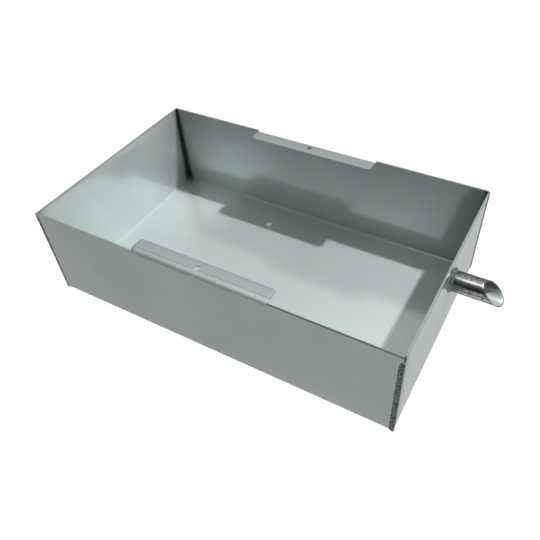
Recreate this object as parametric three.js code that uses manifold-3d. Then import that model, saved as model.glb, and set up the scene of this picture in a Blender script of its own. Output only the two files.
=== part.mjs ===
// Developing tray: a rectangular pan folded from one stainless blank, with TIG-welded
// corners, two inward screw tabs and a bevel-cut overflow spout through one end wall.
// Millimetres. +X towards the spout, +Y across the tray, +Z up.
// Origin: centre of the underside of the base.

import * as THREE from 'three';
import { mergeVertices } from 'three/addons/utils/BufferGeometryUtils.js';
import Module from 'manifold-3d';

const wasm = await Module();
wasm.setup();

// ---- driving dimensions --------------------------------------------------------------
const TRAY_LENGTH = 300;
const TRAY_WIDTH = 178;
const TRAY_HEIGHT = 81;
const SHEET = 1.2;
const BEND_INSIDE_RADIUS = 1.3;
const FIT_GAP = 0.3;

const TAB_LENGTH = 113;
const TAB_REACH = 14;
const TAB_CORNER_RADIUS = 3;
const TAB_BEND_INSIDE_RADIUS = 2.8;
const TAB_HOLE_RADIUS = 2.25;
const TAB_HOLE_INSET = 7;
const TAB_HOLE_X = -2;

const SPOUT_RADIUS = 8;
const SPOUT_WALL = 1.2;
const SPOUT_Y = 10;
const SPOUT_Z = 56;
const SPOUT_REACH = 37;
const SPOUT_BEVEL = THREE.MathUtils.degToRad(45);
const SPOUT_CLOCKING = THREE.MathUtils.degToRad(10);

const RING_LEG = 1.5;
const BEAD_LEG = 3.5;
const BEAD_THROAT = 1.4;
const BEAD_CROWN = 0.35;
const BEAD_RIPPLE_PITCH = 2.2;
const BEAD_RIPPLE_HEIGHT = 0.12;
const BEAD_THIN_CROWN = 0.2;
const BEAD_TOP_GAP = 3;

// ---- derived dimensions --------------------------------------------------------------
const HALF_LENGTH = TRAY_LENGTH / 2;
const HALF_WIDTH = TRAY_WIDTH / 2;
const BEND_OUTSIDE_RADIUS = BEND_INSIDE_RADIUS + SHEET;
const TAB_BEND_OUTSIDE_RADIUS = TAB_BEND_INSIDE_RADIUS + SHEET;
const CORNER_CUT = BEAD_LEG + FIT_GAP;
const BEAD_FOOT = SHEET + FIT_GAP;
const TAB_HALF = TAB_LENGTH / 2;

const BEND_STEPS = 5;
const ROUND_STEPS = 48;
const HOLE_STEPS = 24;
const OVERRUN = 2;

// ---- materials -----------------------------------------------------------------------
const steel = (name, color, roughness) => {
  const material = new THREE.MeshStandardMaterial({ color, roughness, metalness: 0.9 });
  material.name = name;
  return material;
};

// ---- solid helpers -------------------------------------------------------------------
function solidFrom(geometry) {
  const bare = geometry.clone();
  bare.deleteAttribute('normal');
  bare.deleteAttribute('uv');
  const welded = mergeVertices(bare, 1e-5);
  return new wasm.Manifold(new wasm.Mesh({
    numProp: 3,
    vertProperties: new Float32Array(welded.attributes.position.array),
    triVerts: new Uint32Array(welded.index.array),
  }));
}

function geometryFrom(solid) {
  const mesh = solid.getMesh();
  const geometry = new THREE.BufferGeometry();
  geometry.setAttribute('position', new THREE.BufferAttribute(mesh.vertProperties, 3));
  geometry.setIndex(new THREE.BufferAttribute(mesh.triVerts, 1));
  geometry.computeVertexNormals();
  return geometry;
}

function prism(points, depth) {
  const shape = new THREE.Shape(points);
  return new THREE.ExtrudeGeometry(shape, { depth, bevelEnabled: false });
}

// A block between two opposite corners.
function block(low, high) {
  const size = high.clone().sub(low);
  const centre = high.clone().add(low).multiplyScalar(0.5);
  const geometry = new THREE.BoxGeometry(size.x, size.y, size.z);
  return geometry.translate(centre.x, centre.y, centre.z);
}

function arcPoints(centreU, centreZ, radius, fromAngle, toAngle, steps) {
  const points = [];
  for (let i = 0; i <= steps; i += 1) {
    const angle = fromAngle + ((toAngle - fromAngle) * i) / steps;
    points.push(new THREE.Vector2(
      centreU + radius * Math.cos(angle),
      centreZ + radius * Math.sin(angle),
    ));
  }
  return points;
}

// ---- folded sheet --------------------------------------------------------------------
// Outline of a folded wall, seen end on: u runs outward from the tray's middle, z is up.
function wallOutline(outerFace, withTab) {
  const bendU = outerFace - BEND_OUTSIDE_RADIUS;
  const quarter = Math.PI / 2;
  const outer = arcPoints(bendU, BEND_OUTSIDE_RADIUS, BEND_OUTSIDE_RADIUS, -quarter, 0, BEND_STEPS);
  const inner = arcPoints(bendU, BEND_OUTSIDE_RADIUS, BEND_INSIDE_RADIUS, 0, -quarter, BEND_STEPS);
  const toe = bendU - OVERRUN;
  const points = [new THREE.Vector2(toe, 0), ...outer];
  if (withTab) {
    const foldU = outerFace - TAB_BEND_OUTSIDE_RADIUS;
    const foldZ = TRAY_HEIGHT - TAB_BEND_OUTSIDE_RADIUS;
    const tabEdge = outerFace - TAB_REACH;
    points.push(...arcPoints(foldU, foldZ, TAB_BEND_OUTSIDE_RADIUS, 0, quarter, BEND_STEPS));
    points.push(new THREE.Vector2(tabEdge, TRAY_HEIGHT));
    points.push(new THREE.Vector2(tabEdge, TRAY_HEIGHT - SHEET));
    points.push(...arcPoints(foldU, foldZ, TAB_BEND_INSIDE_RADIUS, quarter, 0, BEND_STEPS));
  } else {
    points.push(new THREE.Vector2(outerFace, TRAY_HEIGHT));
    points.push(new THREE.Vector2(outerFace - SHEET, TRAY_HEIGHT));
  }
  points.push(...inner, new THREE.Vector2(toe, SHEET));
  return points;
}

// Stands an outline up along the tray's length: side is +1 for the back, -1 for the front.
function longWall(side, halfSpan, withTab) {
  const geometry = prism(wallOutline(HALF_WIDTH, withTab), 2 * halfSpan);
  geometry.translate(0, 0, -halfSpan);
  geometry.rotateX(Math.PI / 2);
  geometry.rotateZ(side * Math.PI / 2);
  return solidFrom(geometry);
}

// Stands an outline up across one end: side is +1 at the spout, -1 at the plain end.
function endWall(side) {
  const halfSpan = HALF_WIDTH - CORNER_CUT;
  const geometry = prism(wallOutline(HALF_LENGTH, false), 2 * halfSpan);
  geometry.translate(0, 0, -halfSpan);
  geometry.rotateX(Math.PI / 2);
  if (side < 0) {
    geometry.rotateZ(Math.PI);
  }
  return solidFrom(geometry);
}

// Material outside the rounded corner of a tab, removed from its square corner.
function tabCornerCut(sideX, sideY) {
  const endX = sideX * TAB_HALF;
  const edgeY = sideY * (HALF_WIDTH - TAB_REACH);
  const centreX = endX - sideX * TAB_CORNER_RADIUS;
  const centreY = edgeY + sideY * TAB_CORNER_RADIUS;
  const square = solidFrom(block(
    new THREE.Vector3(
      Math.min(centreX, endX + sideX * OVERRUN),
      Math.min(centreY, edgeY - sideY * OVERRUN),
      TRAY_HEIGHT - SHEET - OVERRUN / 2,
    ),
    new THREE.Vector3(
      Math.max(centreX, endX + sideX * OVERRUN),
      Math.max(centreY, edgeY - sideY * OVERRUN),
      TRAY_HEIGHT + OVERRUN,
    ),
  ));
  const height = SHEET + 3 * OVERRUN;
  const round = new THREE.CylinderGeometry(TAB_CORNER_RADIUS, TAB_CORNER_RADIUS, height, HOLE_STEPS);
  round.rotateX(Math.PI / 2);
  round.translate(centreX, centreY, TRAY_HEIGHT);
  return square.subtract(solidFrom(round));
}

function foldedSheet() {
  const flatX = HALF_LENGTH - BEND_OUTSIDE_RADIUS;
  const flatY = HALF_WIDTH - BEND_OUTSIDE_RADIUS;
  const wallEnd = HALF_LENGTH - CORNER_CUT;
  let sheet = solidFrom(block(
    new THREE.Vector3(-flatX, -flatY, 0),
    new THREE.Vector3(flatX, flatY, SHEET),
  ));
  for (const side of [-1, 1]) {
    sheet = sheet.add(longWall(side, wallEnd, false));
    sheet = sheet.add(endWall(side));
  }
  // The plain rim stops where each tab's fold begins.
  const foldZ = TRAY_HEIGHT - TAB_BEND_OUTSIDE_RADIUS;
  sheet = sheet.subtract(solidFrom(block(
    new THREE.Vector3(-TAB_HALF, -TRAY_WIDTH, foldZ),
    new THREE.Vector3(TAB_HALF, TRAY_WIDTH, TRAY_HEIGHT + OVERRUN),
  )));
  for (const side of [-1, 1]) {
    sheet = sheet.add(longWall(side, TAB_HALF, true));
  }
  for (const sideY of [-1, 1]) {
    for (const sideX of [-1, 1]) {
      sheet = sheet.subtract(tabCornerCut(sideX, sideY));
    }
    const drill = new THREE.CylinderGeometry(TAB_HOLE_RADIUS, TAB_HOLE_RADIUS, 4 * SHEET, HOLE_STEPS);
    drill.rotateX(Math.PI / 2);
    drill.translate(TAB_HOLE_X, sideY * (HALF_WIDTH - TAB_HOLE_INSET), TRAY_HEIGHT);
    sheet = sheet.subtract(solidFrom(drill));
  }
  const spoutHole = SPOUT_RADIUS + FIT_GAP;
  const cutter = new THREE.CylinderGeometry(spoutHole, spoutHole, 4 * SHEET, ROUND_STEPS);
  cutter.rotateZ(Math.PI / 2);
  cutter.translate(HALF_LENGTH - SHEET / 2, SPOUT_Y, SPOUT_Z);
  return sheet.subtract(solidFrom(cutter));
}

// ---- overflow spout ------------------------------------------------------------------
function spoutTube() {
  const bore = SPOUT_RADIUS - SPOUT_WALL;
  const start = HALF_LENGTH - SHEET;
  const end = HALF_LENGTH + SPOUT_REACH;
  const profile = [
    new THREE.Vector2(bore, 0),
    new THREE.Vector2(SPOUT_RADIUS, 0),
    new THREE.Vector2(SPOUT_RADIUS, end - start + OVERRUN),
    new THREE.Vector2(bore, end - start + OVERRUN),
    new THREE.Vector2(bore, 0),
  ];
  const tube = new THREE.LatheGeometry(profile, ROUND_STEPS);
  tube.rotateZ(-Math.PI / 2);
  tube.translate(start, 0, 0);

  // The bevel plane leans back from the lowest point of the mouth.
  const wedge = 4 * SPOUT_RADIUS;
  const cutter = new THREE.BoxGeometry(wedge, 2 * wedge, 2 * wedge);
  cutter.translate(wedge / 2, 0, 0);
  cutter.rotateY(-SPOUT_BEVEL);
  cutter.translate(end, 0, -SPOUT_RADIUS);

  const mouth = geometryFrom(solidFrom(tube).subtract(solidFrom(cutter)));
  mouth.rotateX(SPOUT_CLOCKING);
  mouth.translate(0, SPOUT_Y, SPOUT_Z);
  return mouth;
}

// ---- weld beads ----------------------------------------------------------------------
// A closed surface through rings of points, with the two ends capped from their middles.
function capRings(rings) {
  const positions = [];
  const index = [];
  const count = rings[0].length;
  rings.forEach((ring) => ring.forEach((p) => positions.push(p.x, p.y, p.z)));
  for (let i = 0; i < rings.length - 1; i += 1) {
    for (let j = 0; j < count; j += 1) {
      const k = (j + 1) % count;
      const a = i * count + j;
      const b = i * count + k;
      index.push(a, b, b + count, a, b + count, a + count);
    }
  }
  const capEnd = (ring, base, flip) => {
    const middle = ring.reduce((sum, p) => sum.add(p), new THREE.Vector3()).divideScalar(count);
    const apex = positions.length / 3;
    positions.push(middle.x, middle.y, middle.z);
    for (let j = 0; j < count; j += 1) {
      const k = (j + 1) % count;
      index.push(apex, base + (flip ? k : j), base + (flip ? j : k));
    }
  };
  capEnd(rings[0], 0, true);
  capEnd(rings[rings.length - 1], (rings.length - 1) * count, false);
  const geometry = new THREE.BufferGeometry();
  geometry.setAttribute('position', new THREE.Float32BufferAttribute(positions, 3));
  geometry.setIndex(index);
  geometry.computeVertexNormals();
  return geometry;
}

// Section of a corner bead about the tray's outer corner, both axes pointing outward.
function beadSection(crown) {
  const inset = -BEAD_LEG;
  const throat = -(SHEET + BEAD_THROAT);
  return [
    [inset, 0],
    [-SHEET, crown],
    [0, crown * 0.7],
    [crown * 0.7, 0],
    [crown, -SHEET],
    [0, inset],
    [-SHEET, inset],
    [throat, throat],
    [inset, -SHEET],
  ];
}

function cornerBead(sideX, sideY, fromZ, toZ, crown) {
  const ringCount = Math.round((toZ - fromZ) / (BEAD_RIPPLE_PITCH / 2));
  const rings = [];
  for (let i = 0; i <= ringCount; i += 1) {
    const z = fromZ + ((toZ - fromZ) * i) / ringCount;
    const ripple = i % 2 === 0 ? 0 : BEAD_RIPPLE_HEIGHT;
    const section = beadSection(crown + ripple);
    rings.push(section.map(([a, b]) => new THREE.Vector3(
      sideX * (HALF_LENGTH + a),
      sideY * (HALF_WIDTH + b),
      z,
    )));
  }
  if (sideX * sideY > 0) {
    rings.forEach((ring) => ring.reverse());
  }
  return capRings(rings);
}

// Fillet of weld metal round the root of the spout, on the outside of the end wall.
function spoutRing() {
  const inner = SPOUT_RADIUS + FIT_GAP;
  const face = HALF_LENGTH + FIT_GAP;
  const positions = [];
  const index = [];
  for (let i = 0; i < ROUND_STEPS; i += 1) {
    const angle = (2 * Math.PI * i) / ROUND_STEPS;
    const leg = RING_LEG + (i % 2 === 0 ? 0 : 2 * BEAD_RIPPLE_HEIGHT);
    const section = [
      [inner, 0],
      [inner + leg, 0],
      [inner + 0.62 * leg, 0.62 * leg],
      [inner, leg],
    ];
    section.forEach(([r, x]) => positions.push(
      face + x,
      SPOUT_Y + r * Math.cos(angle),
      SPOUT_Z + r * Math.sin(angle),
    ));
  }
  const count = positions.length / 3 / ROUND_STEPS;
  for (let i = 0; i < ROUND_STEPS; i += 1) {
    const next = (i + 1) % ROUND_STEPS;
    for (let j = 0; j < count; j += 1) {
      const k = (j + 1) % count;
      const a = i * count + j;
      const b = i * count + k;
      const c = next * count + k;
      const d = next * count + j;
      index.push(a, d, c, a, c, b);
    }
  }
  const geometry = new THREE.BufferGeometry();
  geometry.setAttribute('position', new THREE.Float32BufferAttribute(positions, 3));
  geometry.setIndex(index);
  geometry.computeVertexNormals();
  return geometry;
}

// ---- assembly ------------------------------------------------------------------------
const tray = new THREE.Group();
tray.name = 'developing_tray';

function addNode(name, geometry, material) {
  const mesh = new THREE.Mesh(geometry, material);
  mesh.name = name;
  tray.add(mesh);
}

const beadTop = TRAY_HEIGHT - BEAD_TOP_GAP;

addNode('pan_sheet', geometryFrom(foldedSheet()), steel('satin_sheet', 0xb4bcbb, 0.4));
addNode(
  'weld_front_right',
  cornerBead(1, -1, BEAD_FOOT, beadTop, BEAD_CROWN),
  steel('weld_front_right', 0x6f716d, 0.5),
);
addNode(
  'weld_back_right',
  cornerBead(1, 1, BEAD_FOOT, beadTop, BEAD_CROWN),
  steel('weld_back_right', 0x6b6c66, 0.5),
);
addNode(
  'weld_front_left',
  cornerBead(-1, -1, BEAD_FOOT, beadTop, BEAD_THIN_CROWN),
  steel('weld_front_left', 0x72736c, 0.5),
);
addNode(
  'weld_back_left',
  cornerBead(-1, 1, BEAD_FOOT, beadTop, BEAD_THIN_CROWN),
  steel('weld_back_left', 0x66675c, 0.5),
);
addNode('overflow_spout', spoutTube(), steel('polished_tube', 0xa9adab, 0.22));
addNode('spout_weld', spoutRing(), steel('spout_weld', 0x8a867a, 0.4));

export default tray;
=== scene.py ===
"""A stainless developing tray: one folded sheet, welded corners, two screw tabs and an overflow spout."""

import math

import bmesh
import bpy
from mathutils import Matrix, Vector, noise


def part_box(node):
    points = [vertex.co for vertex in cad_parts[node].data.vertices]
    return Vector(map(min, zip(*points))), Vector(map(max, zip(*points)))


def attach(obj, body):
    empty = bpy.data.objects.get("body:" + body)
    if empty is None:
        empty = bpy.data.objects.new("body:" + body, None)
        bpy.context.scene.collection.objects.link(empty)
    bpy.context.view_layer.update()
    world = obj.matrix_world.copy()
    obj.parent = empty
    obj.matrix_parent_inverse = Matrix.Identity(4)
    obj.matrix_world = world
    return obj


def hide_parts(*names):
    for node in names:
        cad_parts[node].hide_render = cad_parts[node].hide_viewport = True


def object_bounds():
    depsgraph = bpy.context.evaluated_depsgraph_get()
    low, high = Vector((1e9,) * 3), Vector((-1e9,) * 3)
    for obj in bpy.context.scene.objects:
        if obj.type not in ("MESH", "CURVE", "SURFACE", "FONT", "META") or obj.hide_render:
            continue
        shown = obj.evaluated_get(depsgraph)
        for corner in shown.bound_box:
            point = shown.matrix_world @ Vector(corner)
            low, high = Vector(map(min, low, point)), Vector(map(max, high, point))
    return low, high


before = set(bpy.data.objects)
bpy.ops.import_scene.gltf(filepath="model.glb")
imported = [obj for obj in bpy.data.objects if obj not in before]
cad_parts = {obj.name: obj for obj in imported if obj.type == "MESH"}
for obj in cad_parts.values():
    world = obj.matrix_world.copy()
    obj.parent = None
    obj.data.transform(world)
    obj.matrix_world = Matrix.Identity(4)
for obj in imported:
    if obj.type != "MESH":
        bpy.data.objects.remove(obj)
cad_low, cad_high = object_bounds()

# ---- sizes, in metres -----------------------------------------------------------------
_, pan_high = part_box("pan_sheet")
spout_low, spout_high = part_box("overflow_spout")
HALF_LENGTH, HALF_WIDTH, HEIGHT = pan_high
SHEET = 0.0012
BEND = 0.0025
TAB_BEND = 0.0040
TAB_HALF = 0.0565
TAB_REACH = 0.014
TAB_CORNER = 0.003
TAB_SLIT = 0.00006
TAB_HOLE_X = -0.002
TAB_HOLE_INSET = 0.007
TAB_HOLE_RADIUS = 0.00225
RIM_ROUND = 0.00018
END_WALL_CUT = {-1: 0.0016, 1: 0.0026}
CORNER_OVERHANG = {-1: 0.0004, 1: 0.0009}

SPOUT_RADIUS = (spout_high.z - spout_low.z) / 2
SPOUT_Y = (spout_high.y + spout_low.y) / 2
SPOUT_Z = (spout_high.z + spout_low.z) / 2
SPOUT_END = spout_high.x
SPOUT_START = spout_low.x
SPOUT_WALL = 0.0012
SPOUT_BEVEL = math.radians(45)
SPOUT_CLOCKING = math.radians(10)
TAB_CREASE = 0.0052
HIGHLIGHT_ANGLE = math.radians(118)
HIGHLIGHT_HALF_ANGLE = math.radians(7)

BEND_STEPS = 8
RIM_STEPS = 2
BEND_ARC = math.pi / 2 * (BEND - SHEET / 2)
TAB_ARC = math.pi / 2 * (TAB_BEND - SHEET / 2)
FLAT_X = HALF_LENGTH - BEND
FLAT_Y = HALF_WIDTH - BEND
WALL_TOP = BEND_ARC + HEIGHT - BEND
FOLD_START = WALL_TOP - TAB_BEND
FOLD_END = FOLD_START + TAB_ARC
TAB_EDGE = FOLD_END + TAB_REACH - TAB_BEND


# ---- node helpers ---------------------------------------------------------------------
class Nodes:
    """Builds one material's node tree."""

    def __init__(self, name):
        self.material = bpy.data.materials.new(name)
        self.material.use_nodes = True
        self.tree = self.material.node_tree
        self.shader = self.tree.nodes["Principled BSDF"]
        self.place = self.add("ShaderNodeTexCoord").outputs["Object"]

    def add(self, kind, **settings):
        node = self.tree.nodes.new(kind)
        for key, value in settings.items():
            setattr(node, key, value)
        return node

    def feed(self, socket, value):
        if isinstance(value, bpy.types.NodeSocket):
            self.tree.links.new(value, socket)
        else:
            socket.default_value = value

    def math(self, operation, a, b=0.0, clamp=False):
        node = self.add("ShaderNodeMath", operation=operation, use_clamp=clamp)
        self.feed(node.inputs[0], a)
        self.feed(node.inputs[1], b)
        return node.outputs[0]

    def stretched(self, scale):
        node = self.add("ShaderNodeMapping")
        self.feed(node.inputs["Vector"], self.place)
        node.inputs["Scale"].default_value = scale
        return node.outputs["Vector"]

    def noise(self, scale, detail=3.0, roughness=0.5, place=None):
        node = self.add("ShaderNodeTexNoise")
        self.feed(node.inputs["Vector"], place or self.place)
        node.inputs["Scale"].default_value = scale
        node.inputs["Detail"].default_value = detail
        node.inputs["Roughness"].default_value = roughness
        return node.outputs["Fac"]

    def remap(self, value, from_low, from_high, to_low, to_high):
        node = self.add("ShaderNodeMapRange", clamp=True)
        self.feed(node.inputs["Value"], value)
        node.inputs["From Min"].default_value = from_low
        node.inputs["From Max"].default_value = from_high
        node.inputs["To Min"].default_value = to_low
        node.inputs["To Max"].default_value = to_high
        return node.outputs["Result"]

    def mix(self, amount, a, b):
        """Colour a, going over to colour b as amount goes from 0 to 1."""
        node = self.add("ShaderNodeMix", data_type="RGBA")
        self.feed(node.inputs["Factor"], amount)
        self.feed(node.inputs["A"], a)
        self.feed(node.inputs["B"], b)
        return node.outputs["Result"]

    def mix_value(self, amount, a, b):
        """Number a, going over to number b as amount goes from 0 to 1."""
        node = self.add("ShaderNodeMix", data_type="FLOAT")
        self.feed(node.inputs[0], amount)
        self.feed(node.inputs[2], a)
        self.feed(node.inputs[3], b)
        return node.outputs[0]

    def bump(self, height, strength, distance):
        node = self.add("ShaderNodeBump")
        node.inputs["Strength"].default_value = strength
        node.inputs["Distance"].default_value = distance
        self.feed(node.inputs["Height"], height)
        self.feed(self.shader.inputs["Normal"], node.outputs["Normal"])

    def separate(self):
        node = self.add("ShaderNodeSeparateXYZ")
        self.feed(node.inputs[0], self.place)
        return node.outputs["X"], node.outputs["Y"], node.outputs["Z"]

    def length_of(self, a, b):
        squares = self.math("ADD", self.math("MULTIPLY", a, a), self.math("MULTIPLY", b, b))
        return self.math("SQRT", squares)


def corner_distance(nodes):
    """Distance from the nearest upright corner of the pan."""
    x, y, _ = nodes.separate()
    across_x = nodes.math("SUBTRACT", nodes.math("ABSOLUTE", x), HALF_LENGTH)
    across_y = nodes.math("SUBTRACT", nodes.math("ABSOLUTE", y), HALF_WIDTH)
    return nodes.length_of(across_x, across_y)


def inside_mask(nodes):
    """1 on the faces that look into the pan, 0 on the tabs and on those that look out of it."""
    x, y, z = nodes.separate()
    within_x = nodes.math("LESS_THAN", nodes.math("ABSOLUTE", x), HALF_LENGTH - SHEET / 2)
    within_y = nodes.math("LESS_THAN", nodes.math("ABSOLUTE", y), HALF_WIDTH - SHEET / 2)
    under_rim = nodes.remap(z, HEIGHT - 0.0015, HEIGHT - 0.0003, 1.0, 0.0)
    above_base = nodes.math("GREATER_THAN", z, SHEET / 2)
    within = nodes.math("MULTIPLY", within_x, within_y)
    return nodes.math("MULTIPLY", within, nodes.math("MULTIPLY", under_rim, above_base))


def wall_mask(nodes, axis, side):
    """1 on the inside face of one wall: axis 0 for the end walls and 1 for the long walls."""
    place = nodes.separate()[axis]
    inner = (HALF_LENGTH, HALF_WIDTH)[axis] - SHEET - BEND / 2
    return nodes.remap(nodes.math("MULTIPLY", place, side), inner, inner + BEND / 2, 0.0, 1.0)


def fold_mask(nodes):
    """1 along the inside of the fold between the base and the long walls."""
    _, y, z = nodes.separate()
    low = nodes.remap(z, BEND * 0.7, BEND * 1.1, 1.0, 0.0)
    near_wall = nodes.math("GREATER_THAN", nodes.math("ABSOLUTE", y), HALF_WIDTH - BEND * 1.05)
    upper_face = nodes.math("GREATER_THAN", z, SHEET * 0.6)
    return nodes.math("MULTIPLY", nodes.math("MULTIPLY", low, near_wall), upper_face)


def rim_mask(nodes):
    """1 on the cut top edge of the plain end wall."""
    x, _, z = nodes.separate()
    on_end = nodes.math("LESS_THAN", x, SHEET * 1.1 - HALF_LENGTH)
    return nodes.math("MULTIPLY", on_end, nodes.remap(z, HEIGHT - 0.0006, HEIGHT - 0.0003, 0.0, 1.0))


def dark_rim_mask(nodes):
    """1 on the top edge of the front wall between its tab and the spout end."""
    x, y, z = nodes.separate()
    on_front = nodes.math("LESS_THAN", y, SHEET * 1.1 - HALF_WIDTH)
    beside_tab = nodes.math("GREATER_THAN", x, TAB_HALF + RIM_ROUND)
    on_top = nodes.remap(z, HEIGHT - 0.0007, HEIGHT - 0.0003, 0.0, 1.0)
    return nodes.math("MULTIPLY", nodes.math("MULTIPLY", on_front, beside_tab), on_top)


def under_rim_mask(nodes):
    """1 in a narrow line just under the plain end wall's rim, on its inner side."""
    x, _, z = nodes.separate()
    inner = nodes.math("GREATER_THAN", x, SHEET * 0.7 - HALF_LENGTH)
    on_end = nodes.math("MULTIPLY", inner, nodes.math("LESS_THAN", x, SHEET * 1.3 - HALF_LENGTH))
    line = nodes.math("ABSOLUTE", nodes.math("SUBTRACT", z, HEIGHT - 0.0011))
    return nodes.math("MULTIPLY", on_end, nodes.remap(line, 0.0003, 0.0007, 1.0, 0.0))


def tab_bend_mask(nodes):
    """1 on the round of a screw tab's fold, out to the line where its flat starts."""
    x, y, z = nodes.separate()
    out = nodes.math("ABSOLUTE", y)
    round_part = nodes.remap(out, HALF_WIDTH - TAB_CREASE, HALF_WIDTH - TAB_CREASE + 0.0004, 0.0, 1.0)
    high = nodes.remap(z, HEIGHT - TAB_BEND * 0.50, HEIGHT - TAB_BEND * 0.25, 0.0, 1.0)
    along = nodes.math("LESS_THAN", nodes.math("ABSOLUTE", x), TAB_HALF)
    return nodes.math("MULTIPLY", nodes.math("MULTIPLY", round_part, high), along)


def tab_mask(nodes):
    """1 on the upper faces of the two screw tabs, fading out round their folds."""
    _, y, z = nodes.separate()
    folded_in = nodes.remap(nodes.math("ABSOLUTE", y), HALF_WIDTH - 0.0012, HALF_WIDTH - 0.0002, 1.0, 0.0)
    return nodes.math("MULTIPLY", folded_in, nodes.remap(z, HEIGHT - 0.0020, HEIGHT - 0.0003, 0.0, 1.0))


def spout_distance(nodes):
    """Distance from the middle of the spout's root, on the end wall."""
    x, y, z = nodes.separate()
    along = nodes.math("SUBTRACT", x, HALF_LENGTH)
    radius = nodes.length_of(nodes.math("SUBTRACT", y, SPOUT_Y), nodes.math("SUBTRACT", z, SPOUT_Z))
    return nodes.length_of(along, nodes.math("SUBTRACT", radius, SPOUT_RADIUS))


# ---- materials ------------------------------------------------------------------------
# One sheet grey in three copies: painted light makes the faces inside the pan lighter, and painted shade
# makes the outside faces and the tabs darker.
INSIDE_WITH_PAINTED_LIGHT = (0.600, 0.645, 0.642, 1)
INSIDE_DULL_WITH_PAINTED_LIGHT = (0.555, 0.597, 0.594, 1)
TAB_WITH_PAINTED_SHADE = (0.450, 0.498, 0.496, 1)
TAB_DULL_WITH_PAINTED_SHADE = (0.405, 0.448, 0.446, 1)
OUTSIDE_WITH_PAINTED_SHADE = (0.495, 0.520, 0.508, 1)
OUTSIDE_DULL_WITH_PAINTED_SHADE = (0.385, 0.400, 0.392, 1)
BACK_WALL_PAINTED_SHADE = (0.20, 0.205, 0.205, 1)
PLAIN_END_PAINTED_LIGHT = (0.92, 0.97, 0.97, 1)
FLOOR_PAINTED_LIGHT = (0.86, 0.92, 0.92, 1)
FLOOR_PATCH_PAINTED_LIGHT = (0.96, 1.0, 1.0, 1)
SPOUT_WALL_PAINTED_SHADE = (0.28, 0.30, 0.29, 1)
FOLD_PAINTED_SHADE = (0.22, 0.23, 0.22, 1)
TAB_BEND_PAINTED_LIGHT = (0.80, 0.84, 0.84, 1)
TAB_DARK_LINE = (0.14, 0.15, 0.15, 1)
RIM_PAINTED_HIGHLIGHT = (0.90, 0.93, 0.93, 1)
FRONT_RIM_DARK_LINE = (0.055, 0.060, 0.058, 1)
UNDER_RIM_LINE = (0.12, 0.13, 0.12, 1)
SOOT_AND_CORNER_SHADE = (0.22, 0.23, 0.225, 1)
SCORCH = (0.050, 0.055, 0.042, 1)
STRAW = (0.330, 0.315, 0.235, 1)
SHEET_METALLIC = 0.5
# Centre of a pool of painted light on the floor.
LIGHT_PATCH_CENTRE = (0.035 - HALF_LENGTH, HALF_WIDTH - 0.036)


def sheet_tone_with_painted_light(n, inside, tab, cloudy):
    """The sheet's own colour with light and shade painted in: lighter inside than out, darker on the
    tabs, duller in clouds and towards the plain end.
    """
    x, _, _ = n.separate()
    smudges = n.noise(38.0, 5.0, 0.6)
    bright = n.mix(tab, n.mix(inside, OUTSIDE_WITH_PAINTED_SHADE, INSIDE_WITH_PAINTED_LIGHT), TAB_WITH_PAINTED_SHADE)
    dull = n.mix(tab, n.mix(inside, OUTSIDE_DULL_WITH_PAINTED_SHADE, INSIDE_DULL_WITH_PAINTED_LIGHT), TAB_DULL_WITH_PAINTED_SHADE)
    # The sheet is made duller towards the plain end and in the clouds.
    towards_plain_end = n.remap(x, -HALF_LENGTH, HALF_LENGTH, 0.6, -0.2)
    dullness = n.math("ADD", n.remap(cloudy, 0.35, 0.68, 0.0, 0.6), towards_plain_end)
    tone = n.mix(n.math("MAXIMUM", dullness, 0.0, clamp=True), bright, dull)
    return n.mix(n.remap(smudges, 0.62, 0.78, 0.0, 0.5), tone, dull)


def face_tones(n, tone, inside, on_floor):
    """Light and shade painted face by face: painted shade on the back wall's inside, painted light on the
    plain end's inside and on the floor, painted shade on the spout wall's outside.
    """
    x, y, height = n.separate()
    # Painted shade on the inside of the back wall, deeper towards its top.
    back_wall_shade = n.math("MULTIPLY", wall_mask(n, 1, 1.0), inside)
    back_wall_shade = n.math("MULTIPLY", back_wall_shade, n.remap(height, 0.025, 0.070, 0.04, 0.60))
    # Painted light on the inside of the plain end wall.
    plain_end_light = n.math("MULTIPLY", wall_mask(n, 0, -1.0), inside)
    tone = n.mix(back_wall_shade, tone, BACK_WALL_PAINTED_SHADE)
    tone = n.mix(n.math("MULTIPLY", plain_end_light, 0.58), tone, PLAIN_END_PAINTED_LIGHT)
    # Painted light over the floor, growing towards the spout end.
    floor_light = n.math("MULTIPLY", on_floor, n.remap(x, 0.02, 0.12, 0.0, 0.34))
    tone = n.mix(floor_light, tone, FLOOR_PAINTED_LIGHT)
    # A pool of painted light on the floor near the back of the plain end.
    patch_x, patch_y = LIGHT_PATCH_CENTRE
    from_patch = n.length_of(n.math("SUBTRACT", x, patch_x), n.math("SUBTRACT", y, patch_y))
    light_patch = n.math("MULTIPLY", on_floor, n.remap(from_patch, 0.014, 0.054, 0.42, 0.0))
    tone = n.mix(light_patch, tone, FLOOR_PATCH_PAINTED_LIGHT)
    # Painted shade on the outside of the spout end wall.
    spout_wall_shade = n.remap(x, HALF_LENGTH - SHEET * 0.4, HALF_LENGTH - SHEET * 0.1, 0.0, 0.68)
    return n.mix(spout_wall_shade, tone, SPOUT_WALL_PAINTED_SHADE)


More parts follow.
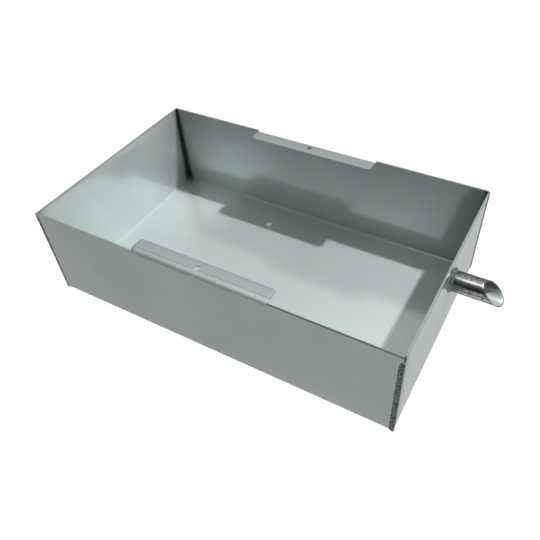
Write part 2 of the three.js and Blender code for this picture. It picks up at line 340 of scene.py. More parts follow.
def edge_lines(n, tone, tab):
    """Fine lines: painted shade in the base folds, painted light on the tabs' rounds, a dark line along
    each tab, a painted highlight on the plain end's rim, and dark lines on the front rim and under the
    plain end's rim.
    """
    x, y, _ = n.separate()
    # Painted shade along the inside of the base folds.
    tone = n.mix(n.math("MULTIPLY", fold_mask(n), 0.35), tone, FOLD_PAINTED_SHADE)
    # Painted light on the round of each tab's fold, growing towards the spout end.
    bend_light = n.math("MULTIPLY", tab_bend_mask(n), n.remap(x, -TAB_HALF, TAB_HALF, 0.0, 0.30))
    tone = n.mix(bend_light, tone, TAB_BEND_PAINTED_LIGHT)
    # A thin dark line along each tab, just past the round of its fold.
    tab_line = n.math("SUBTRACT", n.math("ABSOLUTE", y), HALF_WIDTH - TAB_CREASE)
    tab_line = n.math("ABSOLUTE", tab_line)
    tab_line = n.math("MULTIPLY", n.remap(tab_line, 0.0001, 0.0004, 0.55, 0.0), tab)
    tone = n.mix(tab_line, tone, TAB_DARK_LINE)
    # A painted highlight on the top edge of the plain end wall.
    tone = n.mix(n.math("MULTIPLY", rim_mask(n), 0.75), tone, RIM_PAINTED_HIGHLIGHT)
    # The front wall's top edge beside the tab is made darker.
    tone = n.mix(n.math("MULTIPLY", dark_rim_mask(n), 0.80), tone, FRONT_RIM_DARK_LINE)
    return n.mix(n.math("MULTIPLY", under_rim_mask(n), 0.45), tone, UNDER_RIM_LINE)


def weld_stains_and_corner_shade(n, tone, inside, on_floor):
    """Soot and painted corner shade, straw tint and scorch by the corner welds, widest at the foot, and
    tint round the spout.
    """
    _, _, height = n.separate()
    ragged = n.math("MULTIPLY", n.math("SUBTRACT", n.noise(260.0, 4.0, 0.6), 0.5), 0.004)
    corner = n.math("ADD", corner_distance(n), ragged)
    root = n.math("ADD", spout_distance(n), ragged)
    corner = n.math("DIVIDE", corner, n.remap(height, 0.0, HEIGHT, 1.12, 0.72))
    on_walls = n.math("SUBTRACT", inside, on_floor)
    # Weld soot on the walls, spread wide enough to be painted corner shade as well.
    soot_and_shade = n.math("MULTIPLY", n.remap(corner, 0.006, 0.060, 0.34, 0.0), on_walls)
    tone = n.mix(soot_and_shade, tone, SOOT_AND_CORNER_SHADE)
    tinted = n.remap(corner, 0.0040, 0.0150, 0.30, 0.0)
    tone = n.mix(n.math("MULTIPLY", tinted, inside), tone, STRAW)
    scorched = n.remap(corner, 0.0030, 0.0072, 0.94, 0.0)
    tone = n.mix(n.math("MULTIPLY", scorched, inside), tone, SCORCH)
    return n.mix(n.remap(root, 0.0022, 0.0070, 0.60, 0.0), tone, STRAW)


def sheet_material():
    """Cold-rolled sheet: a soft even sheen with faint rolling streaks, smudges and scorched welds, and
    light and shade painted into its colour.
    """
    n = Nodes("satin_sheet")
    cloudy = n.noise(9.0, 4.0, 0.55)
    streaks = n.noise(160.0, 3.0, 0.6, n.stretched((0.04, 1.0, 1.0)))
    grain = n.noise(2600.0, 2.0, 0.5)
    inside = inside_mask(n)
    tab = tab_mask(n)
    _, _, height = n.separate()
    on_floor = n.math("MULTIPLY", n.remap(height, BEND * 0.6, BEND, 1.0, 0.0), inside)
    tone = sheet_tone_with_painted_light(n, inside, tab, cloudy)
    tone = face_tones(n, tone, inside, on_floor)
    tone = edge_lines(n, tone, tab)
    tone = weld_stains_and_corner_shade(n, tone, inside, on_floor)
    n.feed(n.shader.inputs["Base Color"], tone)

    sheen = n.remap(cloudy, 0.3, 0.7, 0.12, 0.16)
    n.feed(n.shader.inputs["Roughness"], n.math("ADD", sheen, n.remap(streaks, 0.3, 0.7, -0.01, 0.02)))
    n.shader.inputs["Metallic"].default_value = SHEET_METALLIC
    n.bump(n.math("ADD", n.math("MULTIPLY", grain, 0.3), streaks), 0.03, 0.0002)
    return n.material


WELD_PIT = (0.016, 0.018, 0.014, 1)
WELD_CREST = (0.230, 0.237, 0.212, 1)
WELD_SPECK = (0.50, 0.51, 0.48, 1)
WELD_INSIDE = (0.022, 0.027, 0.017, 1)


def bead_material():
    """Uncleaned corner weld: dark mottled oxide with bright specks, greenish black inside the pan."""
    n = Nodes("corner_weld")
    blotches = n.noise(620.0, 5.0, 0.7)
    specks = n.noise(1500.0, 3.0, 0.7)
    tone = n.mix(n.remap(blotches, 0.43, 0.57, 0.0, 1.0), WELD_PIT, WELD_CREST)
    tone = n.mix(n.remap(specks, 0.56, 0.66, 0.0, 0.75), tone, WELD_SPECK)
    tone = n.mix(n.math("MULTIPLY", inside_mask(n), 0.9), tone, WELD_INSIDE)
    n.feed(n.shader.inputs["Base Color"], tone)
    n.feed(n.shader.inputs["Roughness"], n.remap(blotches, 0.3, 0.7, 0.34, 0.6))
    n.shader.inputs["Metallic"].default_value = 0.6
    n.bump(n.math("ADD", blotches, n.math("MULTIPLY", specks, 0.4)), 0.7, 0.0004)
    return n.material


TUBE_GROOVE_AND_DARK_REFLECTION = (0.200, 0.210, 0.206, 1)
TUBE_LAND_AND_BRIGHT_REFLECTION = (0.560, 0.580, 0.572, 1)
TUBE_SCUFF = (0.055, 0.058, 0.055, 1)
TUBE_PAINTED_GLINT = (0.86, 0.88, 0.87, 1)
TUBE_PAINTED_DARK_REFLECTION = (0.045, 0.048, 0.045, 1)
TUBE_PAINTED_HIGHLIGHT = (0.97, 0.98, 0.97, 1)
TUBE_HEAT = (0.120, 0.118, 0.075, 1)
BORE_LOWER_TONE = (0.46, 0.50, 0.48, 1)
BORE_PAINTED_SHADE = (0.085, 0.090, 0.082, 1)
DARK_REFLECTION_TURN = math.radians(-30)


def tube_material():
    """Drawn bright tube: glossy, die-lined and scuffed, with painted reflection streaks, glints, a dark
    underside reflection and a highlight line; dull inside with painted shade in the upper bore; heated at
    its root.
    """
    n = Nodes("polished_tube")
    x, y, z = n.separate()
    up, out = n.math("SUBTRACT", z, SPOUT_Z), n.math("SUBTRACT", y, SPOUT_Y)
    around = n.math("ARCTAN2", up, out)
    bore = n.math("LESS_THAN", n.length_of(up, out), SPOUT_RADIUS - SPOUT_WALL / 2)
    die_lines_and_streaks = n.noise(330.0, 4.0, 0.75, n.stretched((0.045, 1.0, 1.0)))
    scuffs = n.noise(760.0, 4.0, 0.7, n.stretched((0.6, 1.0, 1.0)))
    wander = n.math("SUBTRACT", scuffs, 0.5)

    # Die lines along the tube, with dark and bright reflection streaks painted into their tone.
    tone = n.mix(n.remap(die_lines_and_streaks, 0.40, 0.60, 0.0, 1.0), TUBE_GROOVE_AND_DARK_REFLECTION, TUBE_LAND_AND_BRIGHT_REFLECTION)
    tone = n.mix(n.remap(scuffs, 0.50, 0.60, 0.0, 0.80), tone, TUBE_SCUFF)
    # Painted glints among the scuffs.
    tone = n.mix(n.remap(scuffs, 0.34, 0.42, 0.55, 0.0), tone, TUBE_PAINTED_GLINT)
    # A dark reflection painted in a band along the tube's underside.
    underside = n.math("SINE", n.math("SUBTRACT", around, DARK_REFLECTION_TURN))
    tone = n.mix(n.remap(underside, -1.0, -0.80, 0.85, 0.0), tone, TUBE_PAINTED_DARK_REFLECTION)
    # A bright highlight line painted along the tube.
    highlight_line = n.math("ABSOLUTE", n.math("SUBTRACT", around, HIGHLIGHT_ANGLE))
    highlight_line = n.math("ADD", highlight_line, n.remap(scuffs, 0.3, 0.7, -0.03, 0.03))
    tone = n.mix(n.remap(highlight_line, HIGHLIGHT_HALF_ANGLE * 0.4, HIGHLIGHT_HALF_ANGLE, 0.95, 0.0), tone, TUBE_PAINTED_HIGHLIGHT)
    heat = n.math("ADD", x, n.math("MULTIPLY", wander, 0.014))
    tone = n.mix(n.remap(heat, HALF_LENGTH + 0.002, HALF_LENGTH + 0.009, 0.6, 0.0), tone, TUBE_HEAT)
    # Painted shade over the upper part of the bore, lighter low down.
    bore_shade_level = n.math("ADD", up, n.math("MULTIPLY", wander, 0.006))
    inner_tone = n.mix(n.remap(bore_shade_level, -0.0030, -0.0010, 0.0, 1.0), BORE_LOWER_TONE, BORE_PAINTED_SHADE)
    n.feed(n.shader.inputs["Base Color"], n.mix(bore, tone, inner_tone))

    gloss = n.remap(scuffs, 0.3, 0.7, 0.08, 0.26)
    n.feed(n.shader.inputs["Roughness"], n.mix_value(bore, gloss, 0.38))
    n.feed(n.shader.inputs["Metallic"], n.mix_value(bore, 0.95, 0.45))
    n.bump(n.math("ADD", die_lines_and_streaks, scuffs), 0.16, 0.0003)
    return n.material


RING_BRIGHT = (0.40, 0.41, 0.39, 1)
RING_DARK = (0.070, 0.072, 0.062, 1)


def ring_material():
    """Weld round the spout: rippled metal, blotched with dark grey oxide."""
    n = Nodes("ring_weld")
    blotches = n.noise(700.0, 5.0, 0.7)
    tone = n.mix(n.remap(blotches, 0.38, 0.62, 0.0, 1.0), RING_BRIGHT, RING_DARK)
    n.feed(n.shader.inputs["Base Color"], tone)
    n.feed(n.shader.inputs["Roughness"], n.remap(blotches, 0.3, 0.7, 0.2, 0.4))
    n.shader.inputs["Metallic"].default_value = 0.85
    n.bump(blotches, 0.4, 0.0003)
    return n.material


# ---- mesh helpers ---------------------------------------------------------------------
def make_object(name, mesh, material, sharp_degrees):
    mesh.materials.append(material)
    mesh.polygons.foreach_set("use_smooth", [True] * len(mesh.polygons))
    mesh.set_sharp_from_angle(angle=math.radians(sharp_degrees))
    made = bpy.data.objects.new(name, mesh)
    bpy.context.scene.collection.objects.link(made)
    return made


def finish_mesh(name, bm):
    bmesh.ops.recalc_face_normals(bm, faces=bm.faces)
    mesh = bpy.data.meshes.new(name)
    bm.to_mesh(mesh)
    bm.free()
    return mesh


def steps(low, high, count):
    return [low + (high - low) * i / count for i in range(count + 1)]


def merged(*lists):
    """The values of all the lists in order, with near-equal ones counted once."""
    kept = []
    for value in sorted(v for values in lists for v in values):
        if not kept or value - kept[-1] > 1e-6:
            kept.append(value)
    return kept


# ---- the flat blank and its folds -----------------------------------------------------
PANEL_HOLLOW = 0.00028
FAN_STEPS = 8
HOLE_CELLS = 8
SPOUT_BLOCK_HALF = 0.0125
SPOUT_BLOCK_CELLS = 12
SPOUT_CLEARANCE = 0.0001


def hollow(u, v, seed):
    """How far a flat panel is pressed in from dead flat, 0 at its edges; u and v run 0 to 1."""
    window = max(0.0, min(1.0, 6 * u, 6 - 6 * u)) * max(0.0, min(1.0, 6 * v, 6 - 6 * v))
    swell = noise.noise(Vector((2.3 * u, 1.7 * v, seed)))
    return window * PANEL_HOLLOW * (0.5 + 0.5 * swell)


def folded_profile(d, depth, outer, tabbed):
    """Distance d past the base's flat edge, at a depth below the outer face, to (outward, up)."""
    bend_u = outer - BEND
    if d <= BEND_ARC:
        angle = d / BEND_ARC * math.pi / 2
        reach = BEND - depth
        return bend_u + reach * math.sin(angle), BEND - reach * math.cos(angle)
    if not tabbed or d <= FOLD_START:
        return outer - depth, BEND + d - BEND_ARC
    fold_u, fold_z = outer - TAB_BEND, HEIGHT - TAB_BEND
    if d <= FOLD_END:
        angle = (d - FOLD_START) / TAB_ARC * math.pi / 2
        reach = TAB_BEND - depth
        return fold_u + reach * math.cos(angle), fold_z + reach * math.sin(angle)
    return fold_u - (d - FOLD_END), HEIGHT - depth


def fold(s, t, depth):
    """A point of the flat blank, at a depth below its outer face, to its place on the folded pan."""
    past_x, past_y = abs(s) - FLAT_X, abs(t) - FLAT_Y
    if past_y > max(past_x, 1e-9):
        u = (s / HALF_LENGTH + 1) / 2
        pressed = hollow(u, past_y / WALL_TOP, 3.1 if t > 0 else 7.7)
        tabbed = abs(s) <= TAB_HALF + TAB_SLIT / 4
        out, up = folded_profile(past_y, depth + pressed, HALF_WIDTH, tabbed)
        return Vector((s, math.copysign(out, t), up))
    if past_x > 1e-9:
        u = (t / HALF_WIDTH + 1) / 2
        pressed = hollow(u, past_x / WALL_TOP, 12.9 if s > 0 else 17.3)
        out, up = folded_profile(past_x, depth + pressed, HALF_LENGTH, False)
        return Vector((math.copysign(out, s), t, up))
    pressed = hollow((s / HALF_LENGTH + 1) / 2, (t / HALF_WIDTH + 1) / 2, 21.5)
    return Vector((s, t, depth + pressed))


class Blank:
    """The flat blank as faces over (s, t) corners. Corners at one place are one corner."""

    def __init__(self):
        self.corners = []
        self.index = {}
        self.faces = []

    def corner(self, s, t):
        key = (round(s * 1e6), round(t * 1e6))
        if key not in self.index:
            self.index[key] = len(self.corners)
            self.corners.append((s, t))
        return self.index[key]

    def face(self, *points):
        ids = []
        for point in points:
            i = self.corner(*point)
            if i not in ids:
                ids.append(i)
        if len(ids) > 2:
            self.faces.append(ids)

    def grid(self, columns, rows, skip=lambda s, t: False):
        for s0, s1 in zip(columns, columns[1:]):
            for t0, t1 in zip(rows, rows[1:]):
                if not skip((s0 + s1) / 2, (t0 + t1) / 2):
                    self.face((s0, t0), (s1, t0), (s1, t1), (s0, t1))

    def round_hole(self, columns, rows, centre, radius):
        """Fills a block of the grid round a circular hole, ring by ring."""
        s_low, s_high, t_low, t_high = columns[0], columns[-1], rows[0], rows[-1]
        rim = [(s, t_low) for s in columns[:-1]] + [(s_high, t) for t in rows[:-1]]
        rim += [(s, t_high) for s in columns[:0:-1]] + [(s_low, t) for t in rows[:0:-1]]
        rings = []
        for share in (1.0, 0.5, 0.0):
            ring = []
            for s, t in rim:
                angle = math.atan2(t - centre[1], s - centre[0])
                on_s = centre[0] + radius * math.cos(angle)
                on_t = centre[1] + radius * math.sin(angle)
                ring.append((on_s + (s - on_s) * share, on_t + (t - on_t) * share))
            rings.append(ring)
        for outer, inner in zip(rings, rings[1:]):
            for i in range(len(rim)):
                j = (i + 1) % len(rim)
                self.face(outer[i], outer[j], inner[j], inner[i])

    def fan(self, centre, radius, from_angle):
        """A quarter disc about centre."""
        arc = [from_angle + math.pi / 2 * i / FAN_STEPS for i in range(FAN_STEPS + 1)]
        points = [(centre[0] + radius * math.cos(a), centre[1] + radius * math.sin(a)) for a in arc]
        for a, b in zip(points, points[1:]):
            self.face(centre, a, b)


def block_lines(centre, half, count):
    return steps(centre - half, centre + half, count)


def lay_out_blank():
    """The whole pan as one flat sheet: base, then the long walls with their tabs, then the end walls."""
    blank = Blank()
    hole_half = TAB_HOLE_INSET - TAB_BEND
    hole_columns = block_lines(TAB_HOLE_X, hole_half, HOLE_CELLS)
    spout_rows = block_lines(SPOUT_Y, SPOUT_BLOCK_HALF, SPOUT_BLOCK_CELLS)
    tab_end = TAB_HALF - TAB_CORNER

    wide = merged(
        steps(-FLAT_X, -TAB_HALF - TAB_SLIT, 10), steps(TAB_HALF + TAB_SLIT, FLAT_X, 10),
        steps(-tab_end, tab_end, 12), hole_columns, [-TAB_HALF, TAB_HALF],
    )
    deep = merged(steps(-FLAT_Y, FLAT_Y, 20), spout_rows)
    blank.grid(wide, deep)

    bends = steps(0, BEND_ARC, BEND_STEPS)
    slit_foot = FOLD_START - 2 * RIM_ROUND
    lower = merged(bends, steps(BEND_ARC, slit_foot, 9))
    upper = steps(slit_foot, WALL_TOP, 2)
    hole_d = TAB_EDGE - TAB_REACH + TAB_HOLE_INSET
    hole_rows = block_lines(hole_d, hole_half, HOLE_CELLS)
    flat_rows = merged([FOLD_END], hole_rows, [TAB_EDGE - TAB_CORNER])

    for side in (-1, 1):
        def rows_at(distances, side=side):
            return sorted(side * (FLAT_Y + d) for d in distances)

        def on_wall(s, d, side=side):
            return (s, side * (FLAT_Y + d))

        blank.grid(wide, rows_at(lower))
        outer = [s for s in wide if abs(s) >= TAB_HALF + TAB_SLIT / 2]
        for end in (-1, 1):
            blank.grid([s for s in outer if s * end > 0], rows_at(upper))
            lap = sorted([end * FLAT_X, end * (HALF_LENGTH - CORNER_OVERHANG[end])])
            blank.grid(lap, rows_at([d for d in lower + upper if d >= BEND_ARC - 1e-9]))
        inside = [s for s in wide if abs(s) <= TAB_HALF + TAB_SLIT / 4]
        tab_fold = merged([slit_foot, FOLD_START], steps(FOLD_START, FOLD_END, BEND_STEPS))
        blank.grid(inside, rows_at(tab_fold))

        def in_hole(s, t, side=side):
            return abs(s - TAB_HOLE_X) < hole_half and abs(side * t - FLAT_Y - hole_d) < hole_half

        blank.grid(inside, rows_at(flat_rows), in_hole)
        blank.round_hole(hole_columns, rows_at(hole_rows), on_wall(TAB_HOLE_X, hole_d), TAB_HOLE_RADIUS)
        last = rows_at([TAB_EDGE - TAB_CORNER, TAB_EDGE])
        blank.grid([s for s in inside if abs(s) <= tab_end + 1e-9], last)
        for end in (-1, 1):
            centre = on_wall(end * tab_end, TAB_EDGE - TAB_CORNER)
            start = {(1, 1): 0, (-1, 1): 1, (-1, -1): 2, (1, -1): 3}[(end, side)]
            blank.fan(centre, TAB_CORNER, start * math.pi / 2)

    def across_end(end):
        stop = HALF_WIDTH - END_WALL_CUT[end]
        return merged([t for t in deep if abs(t) < stop - 1e-5], [-stop, stop])

    spout_d = BEND_ARC + SPOUT_Z - BEND
    spout_columns = block_lines(spout_d, SPOUT_BLOCK_HALF, SPOUT_BLOCK_CELLS)
    plain_heights = merged(bends, steps(BEND_ARC, WALL_TOP, 10))
    blank.grid(sorted(-(FLAT_X + d) for d in plain_heights if d <= BEND_ARC + 1e-9), deep)
    blank.grid(sorted(-(FLAT_X + d) for d in plain_heights if d >= BEND_ARC - 1e-9), across_end(-1))
    heights = merged(
        bends, steps(BEND_ARC, spout_columns[0], 5), spout_columns,
        steps(spout_columns[-1], WALL_TOP, 2),
    )

    def in_spout(s, t):
        past_s, past_t = abs(s - FLAT_X - spout_d), abs(t - SPOUT_Y)
        return past_s < SPOUT_BLOCK_HALF and past_t < SPOUT_BLOCK_HALF

    blank.grid([FLAT_X + d for d in heights if d <= BEND_ARC + 1e-9], deep)
    blank.grid([FLAT_X + d for d in heights if d >= BEND_ARC - 1e-9], across_end(1), in_spout)
    spout_centre = (FLAT_X + spout_d, SPOUT_Y)
    spout_hole = SPOUT_RADIUS + SPOUT_CLEARANCE
    blank.round_hole([FLAT_X + d for d in spout_columns], spout_rows, spout_centre, spout_hole)
    return blank


def outward_normals(blank):
    """Which way is out at each corner on the blank's cut edge, and the cut edges themselves."""
    owners = {}
    for face in blank.faces:
        for a, b in zip(face, face[1:] + face[:1]):
            owners[(a, b)] = True
    edges = [(a, b) for a, b in owners if (b, a) not in owners]
    normals = {}
    for a, b in edges:
        (s0, t0), (s1, t1) = blank.corners[a], blank.corners[b]
        out = Vector((t1 - t0, s0 - s1)).normalized()
        for i in (a, b):
            normals.setdefault(i, []).append(out)
    mean = {}
    for i, found in normals.items():
        total = sum(found, Vector((0, 0))).normalized()
        lean = max(0.6, total.dot(found[0]))
        mean[i] = total / lean
    return mean, edges


def rim_profile():
    """(set back, depth) from one face of the sheet, round its cut edge, to the other face."""
    points = []
    for i in range(RIM_STEPS + 1):
        angle = math.pi / 2 * i / RIM_STEPS
        points.append((RIM_ROUND * (1 - math.sin(angle)), RIM_ROUND * (1 - math.cos(angle))))
    return points + [(back, SHEET - depth) for back, depth in reversed(points)]


def build_pan(material):
    blank = lay_out_blank()
    outward, edges = outward_normals(blank)
    profile = rim_profile()
    bm = bmesh.new()

    def place(i, back, depth):
        s, t = blank.corners[i]
        if i in outward:
            s -= outward[i].x * back
            t -= outward[i].y * back
        return bm.verts.new(fold(s, t, depth))

    outer = [place(i, profile[0][0], 0.0) for i in range(len(blank.corners))]
    inner = [place(i, profile[-1][0], SHEET) for i in range(len(blank.corners))]
    for face in blank.faces:
        bm.faces.new([outer[i] for i in reversed(face)])
        bm.faces.new([inner[i] for i in face])
    middle = {i: [place(i, back, depth) for back, depth in profile[1:-1]] for i in outward}
    for a, b in edges:
        rows_a = [outer[a], *middle[a], inner[a]]
        rows_b = [outer[b], *middle[b], inner[b]]
        for k in range(len(rows_a) - 1):
            bm.faces.new([rows_a[k], rows_b[k], rows_b[k + 1], rows_a[k + 1]])
    return make_object("pan", finish_mesh("pan", bm), material, 30)


# ---- weld beads -----------------------------------------------------------------------
def ripple(along, across, pitch):
    """Height, 0 to 1, of overlapping crescents of weld metal."""
    phase = (along / pitch + 0.35 * across * across) % 1.0
    return 1.0 - phase ** 2.2


def close_rings(bm, rings):
    """Skins closed rings of points and caps both ends."""
    verts = [[bm.verts.new(p) for p in ring] for ring in rings]
    count = len(rings[0])
    for low, high in zip(verts, verts[1:]):
        for j in range(count):
            k = (j + 1) % count
            bm.faces.new([low[j], low[k], high[k], high[j]])
    bm.faces.new(verts[0])
    bm.faces.new(verts[-1])


BEAD_FOOT = 0.0003
BEAD_END_SHARE = 0.85
BEAD_STEP = 0.00035
BEAD_SIDES = 28
BEAD_PITCH = 0.0017
BEAD_LUMP = 0.00034


def bead_point(angle, leg, proud, root):
    """Section of a corner bead about the outer corner, with both axes pointing outward."""
    across = math.sin(angle - math.pi / 4)
    on_end_wall = across < 0
    arm = leg * abs(across) ** 1.5 * (BEAD_END_SHARE if on_end_wall else 1.0)
    if math.cos(angle - math.pi / 4) > 0:
        lift = proud * (1 - abs(across) ** 4.5)
        return (lift, lift - arm) if on_end_wall else (lift - arm, lift)
    inside = -(SHEET + root * (1 - abs(across) ** 1.4))
    return (inside, min(inside, -arm)) if on_end_wall else (min(inside, -arm), inside)


def build_bead(name, side_x, side_y, leg, proud_foot, proud_top, root, top_gap, seed, material):
    """A corner bead from the foot up: tapered ends, a swaying width and a root that thins upward."""
    bm = bmesh.new()
    foot, top = BEAD_FOOT, HEIGHT - top_gap
    count = round((top - foot) / BEAD_STEP)
    rings = []
    for i in range(count + 1):
        z = foot + (top - foot) * i / count
        proud = proud_foot + (proud_top - proud_foot) * i / count
        taper = 0.45 + 0.55 * math.sqrt(min(1.0, i * BEAD_STEP / 0.002))
        taper *= 0.35 + 0.65 * math.sqrt(min(1.0, (count - i) * BEAD_STEP / 0.003))
        sway = noise.noise(Vector((z * 210, seed, 0.0)))
        width = leg * taper * (1 + 0.16 * sway)
        ring = []
        for j in range(BEAD_SIDES):
            angle = 2 * math.pi * j / BEAD_SIDES
            across = math.sin(angle - math.pi / 4)
            rough = noise.noise(Vector((math.cos(angle) * 1.3, math.sin(angle) * 1.3 + seed, z * 900)))
            lift = proud * (0.35 + 0.45 * ripple(z, across, BEAD_PITCH)) + BEAD_LUMP * 0.5 * rough
            depth = root * (1.25 - 0.75 * z / HEIGHT) * (1 + 0.4 * rough)
            a, b = bead_point(angle, width, min(proud, lift) * taper, depth)
            ring.append(Vector((side_x * (HALF_LENGTH + a), side_y * (HALF_WIDTH + b), z)))
        rings.append(ring)
    close_rings(bm, rings)
    return make_object(name, finish_mesh(name, bm), material, 60)


RING_LEG = 0.0014
RING_STEPS = 220
RING_SIDES = 14
RING_PITCH = math.radians(15)
RING_CREST = 0.00024
RING_ROUGHNESS = 0.00010
RING_SUNK_RADIALLY = 0.0004
RING_SUNK_INTO_WALL = 0.0003


def build_spout_ring(material):
    """Fillet of weld between the spout and the end wall: a quarter-round with ripples."""
    bm = bmesh.new()
    rings = []
    for i in range(RING_STEPS):
        turn = 2 * math.pi * i / RING_STEPS
        wander = noise.noise(Vector((math.cos(turn) * 1.6, math.sin(turn) * 1.6, 4.2)))
        leg = RING_LEG * (1 + 0.14 * wander)
        ring = []
        for j in range(RING_SIDES + 1):
            across = j / RING_SIDES
            sweep = math.pi / 2 * across
            crest = RING_CREST * ripple(turn, 2 * across - 1, RING_PITCH)
            rough = RING_ROUGHNESS * noise.noise(Vector((turn * 14, across * 3, 9.1)))
            reach = 1.0 - 0.26 * math.sin(2 * sweep)
            radial = SPOUT_RADIUS + (leg * reach + crest + rough) * math.cos(sweep)
            out = HALF_LENGTH + (leg * reach + crest + rough) * math.sin(sweep)
            ring.append((radial, out))
        ring.append((SPOUT_RADIUS - RING_SUNK_RADIALLY, HALF_LENGTH - RING_SUNK_INTO_WALL))
        rings.append([
            Vector((out, SPOUT_Y + radial * math.cos(turn), SPOUT_Z + radial * math.sin(turn)))
            for radial, out in ring
        ])
    verts = [[bm.verts.new(p) for p in ring] for ring in rings]
    count = len(rings[0])
    for i in range(RING_STEPS):
        low, high = verts[i], verts[(i + 1) % RING_STEPS]
        for j in range(count):
            k = (j + 1) % count
            bm.faces.new([low[j], low[k], high[k], high[j]])
    return make_object("spout_ring", finish_mesh("spout_ring", bm), material, 60)


# ---- spout ----------------------------------------------------------------------------
SPOUT_SIDES = 96
SPOUT_ROWS = 26
LIP_ROUND = 0.00018


def build_spout(material):
    """A drawn tube whose mouth is sawn on a bevel, so its lowest point reaches furthest."""
    bm = bmesh.new()
    slope = math.tan(SPOUT_BEVEL)

    def end_at(radius, angle):
        return SPOUT_END - slope * (SPOUT_RADIUS + radius * math.sin(angle))

    def point(x, radius, angle):
        turned = angle + SPOUT_CLOCKING
        return Vector((x, SPOUT_Y + radius * math.cos(turned), SPOUT_Z + radius * math.sin(turned)))

    bore = SPOUT_RADIUS - SPOUT_WALL
    lip = [
        (SPOUT_RADIUS, -LIP_ROUND), (SPOUT_RADIUS - LIP_ROUND, 0.0),
        (bore + LIP_ROUND, 0.0), (bore, -LIP_ROUND),
    ]
    angles = [2 * math.pi * i / SPOUT_SIDES for i in range(SPOUT_SIDES)]

    def ring_part_way(row, radius):
        share = row / SPOUT_ROWS
        return [
            point(SPOUT_START + (end_at(radius, a) - LIP_ROUND - SPOUT_START) * share, radius, a)
            for a in angles
        ]

    rings = [ring_part_way(row, SPOUT_RADIUS) for row in range(SPOUT_ROWS)]
    for radius, back in lip:
        rings.append([point(end_at(radius, a) + back, radius, a) for a in angles])
    rings += [ring_part_way(row, bore) for row in range(SPOUT_ROWS - 1, -1, -1)]
    verts = [[bm.verts.new(p) for p in ring] for ring in rings]
    for low, high in zip(verts, verts[1:] + verts[:1]):
        for j in range(SPOUT_SIDES):
            k = (j + 1) % SPOUT_SIDES
            bm.faces.new([low[j], low[k], high[k], high[j]])
    return make_object("spout", finish_mesh("spout", bm), material, 30)


# ---- assembly -------------------------------------------------------------------------
pieces = []


def fit(piece, node):
    pieces.append(piece)
    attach(piece, "root")
    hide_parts(node)


fit(build_pan(sheet_material()), "pan_sheet")
bead = bead_material()
CORNERS = {
    "front_right": dict(side_x=1, side_y=-1, leg=0.0034, proud_foot=0.00045, proud_top=0.00045,
                        root=0.0014, top_gap=0.0040),
    "back_right": dict(side_x=1, side_y=1, leg=0.0030, proud_foot=0.00030, proud_top=0.00030,
                       root=0.0016, top_gap=0.0012),
    "front_left": dict(side_x=-1, side_y=-1, leg=0.0026, proud_foot=0.00005, proud_top=0.00030,
                       root=0.0014, top_gap=0.0008),
    "back_left": dict(side_x=-1, side_y=1, leg=0.0028, proud_foot=0.00010, proud_top=0.00030,
                      root=0.0018, top_gap=0.0008),
}
for number, (corner_name, sizes) in enumerate(CORNERS.items()):
    made = build_bead("bead_" + corner_name, seed=3.7 * number, material=bead, **sizes)
    fit(made, "weld_" + corner_name)
fit(build_spout(tube_material()), "overflow_spout")
fit(build_spout_ring(ring_material()), "spout_weld")


# ---- stage, light and camera ----------------------------------------------------------
FLOOR_HALF = 3.0
FLOOR_DROP = 0.0002
BACKDROP_SIDES = 64
BACKDROP_SHARE = 0.95
BACKDROP_SUNK = 0.01
SUN_AZIMUTH = math.radians(35)
SUN_ELEVATION = math.radians(63.3)
SUN_STRENGTH = 3.4
SUN_SPREAD = math.radians(2.5)
OVERHEAD = 1.0
SIDE_FILL = 0.45
BACK_FILL = 1.36
GROUND = 0.69


def build_stage():
    """A plain pale floor, kept out of the tray's own light and reflections."""
    bm = bmesh.new()
    z = cad_low.z - FLOOR_DROP
    corners = [(-1, -1), (1, -1), (1, 1), (-1, 1)]
    bm.faces.new([bm.verts.new((a * FLOOR_HALF, b * FLOOR_HALF, z)) for a, b in corners])
    n = Nodes("pale_floor")
    tone = n.mix(n.noise(1.5, 2.0), (0.80, 0.80, 0.80, 1), (0.84, 0.84, 0.84, 1))
    n.feed(n.shader.inputs["Base Color"], tone)
    n.shader.inputs["Roughness"].default_value = 0.9
    n.shader.inputs["Specular IOR Level"].default_value = 0.1
    floor = make_object("floor", finish_mesh("floor", bm), n.material, 30)
    floor.visible_diffuse = False
    floor.visible_glossy = False
    return floor


def build_backdrop():
    """A plain white wall all round the floor, which only the camera sees."""
    bm = bmesh.new()
    foot = cad_low.z - FLOOR_DROP - BACKDROP_SUNK
    radius = FLOOR_HALF * BACKDROP_SHARE
    turns = [2 * math.pi * i / BACKDROP_SIDES for i in range(BACKDROP_SIDES)]
    low, high = (
        [bm.verts.new((radius * math.cos(a), radius * math.sin(a), z)) for a in turns]
        for z in (foot, foot + FLOOR_HALF)
    )
    for i in range(BACKDROP_SIDES):
        after = (i + 1) % BACKDROP_SIDES
        bm.faces.new([low[i], low[after], high[after], high[i]])
    n = Nodes("white_backdrop")
    n.shader.inputs["Base Color"].default_value = (0.0, 0.0, 0.0, 1)
    n.shader.inputs["Specular IOR Level"].default_value = 0.0
    n.shader.inputs["Emission Color"].default_value = (1.0, 1.0, 1.0, 1)
    n.shader.inputs["Emission Strength"].default_value = 1.0
    backdrop = make_object("backdrop", finish_mesh("backdrop", bm), n.material, 30)
    backdrop.visible_diffuse = False
    backdrop.visible_glossy = False
    backdrop.visible_shadow = False


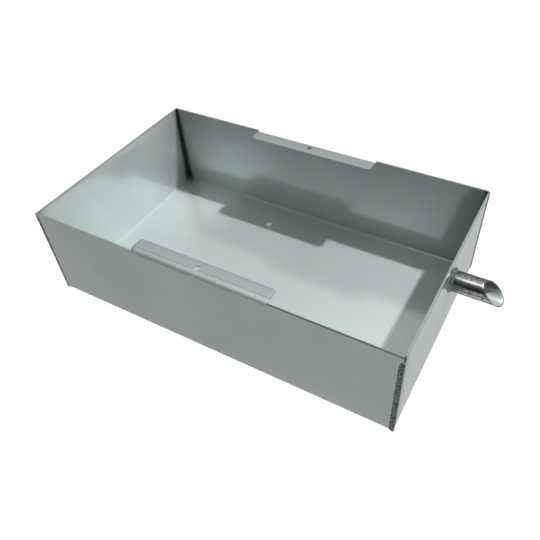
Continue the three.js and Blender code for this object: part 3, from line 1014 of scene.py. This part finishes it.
def build_sun(name, lit, casts_shadow):
    """A distant lamp that lights only the objects given."""
    sun = bpy.data.lights.new(name, "SUN")
    sun.energy = SUN_STRENGTH
    sun.angle = SUN_SPREAD
    sun.color = (0.97, 1.0, 1.0)
    sun.use_shadow = casts_shadow
    lamp = bpy.data.objects.new(name, sun)
    group = bpy.data.collections.new(name + "_lit")
    for piece in lit:
        group.objects.link(piece)
    lamp.light_linking.receiver_collection = group
    toward = Vector((
        math.cos(SUN_AZIMUTH) * math.cos(SUN_ELEVATION),
        math.sin(SUN_AZIMUTH) * math.cos(SUN_ELEVATION),
        math.sin(SUN_ELEVATION),
    ))
    lamp.rotation_mode = "QUATERNION"
    lamp.rotation_quaternion = toward.to_track_quat("Z", "Y")
    bpy.context.scene.collection.objects.link(lamp)


def build_room():
    """Soft light from overhead, from low at the spout end, from high behind, and from pale ground."""
    world = bpy.data.worlds.new("soft_room")
    world.use_nodes = True
    tree = world.node_tree
    split = tree.nodes.new("ShaderNodeSeparateXYZ")
    tree.links.new(tree.nodes.new("ShaderNodeTexCoord").outputs["Generated"], split.inputs[0])
    x, y, z = split.outputs

    def calculate(operation, a, b):
        node = tree.nodes.new("ShaderNodeMath")
        node.operation = operation
        for socket, value in zip(node.inputs, (a, b)):
            if isinstance(value, bpy.types.NodeSocket):
                tree.links.new(value, socket)
            else:
                socket.default_value = value
        return node.outputs[0]

    steep = calculate("MULTIPLY", z, z)
    level = calculate("SUBTRACT", 1.0, steep)
    from_side, from_back = calculate("MAXIMUM", x, 0.0), calculate("MAXIMUM", y, 0.0)
    side = calculate("MULTIPLY", from_side, calculate("MULTIPLY", level, SIDE_FILL))
    back = calculate("MULTIPLY", from_back, calculate("MULTIPLY", steep, BACK_FILL))
    panels = calculate("MULTIPLY", calculate("ADD", side, back), level)
    overhead = calculate("MULTIPLY", calculate("MULTIPLY", steep, steep), OVERHEAD)
    sky = calculate("ADD", panels, overhead)
    above = calculate("GREATER_THAN", z, 0.0)
    ground = calculate("MULTIPLY", calculate("SUBTRACT", 1.0, above), GROUND)
    background = tree.nodes["Background"]
    background.inputs["Color"].default_value = (0.97, 1.0, 0.99, 1)
    strength = calculate("ADD", calculate("MULTIPLY", sky, above), ground)
    tree.links.new(strength, background.inputs["Strength"])
    bpy.context.scene.world = world


# The camera stands at the photograph's viewing angle.
CAMERA_PLACE = (0.1960, -0.2867, 0.3468)
CAMERA_TURN = (44.77, 2.26, 29.16)
CAMERA_LENS = 37.79
CAMERA_SHIFT = (-0.0357, 0.0137)


def build_camera():
    camera = bpy.data.cameras.new("camera")
    camera.lens = CAMERA_LENS
    camera.shift_x, camera.shift_y = CAMERA_SHIFT
    camera.clip_start = 0.01
    holder = bpy.data.objects.new("camera", camera)
    holder.location = CAMERA_PLACE
    holder.rotation_euler = [math.radians(a) for a in CAMERA_TURN]
    bpy.context.scene.collection.objects.link(holder)
    bpy.context.scene.camera = holder


stage_floor = build_stage()
build_backdrop()
build_sun("key", pieces, True)
build_sun("floor_wash", [stage_floor], False)
build_room()
build_camera()
bpy.context.scene.view_settings.view_transform = "Standard"
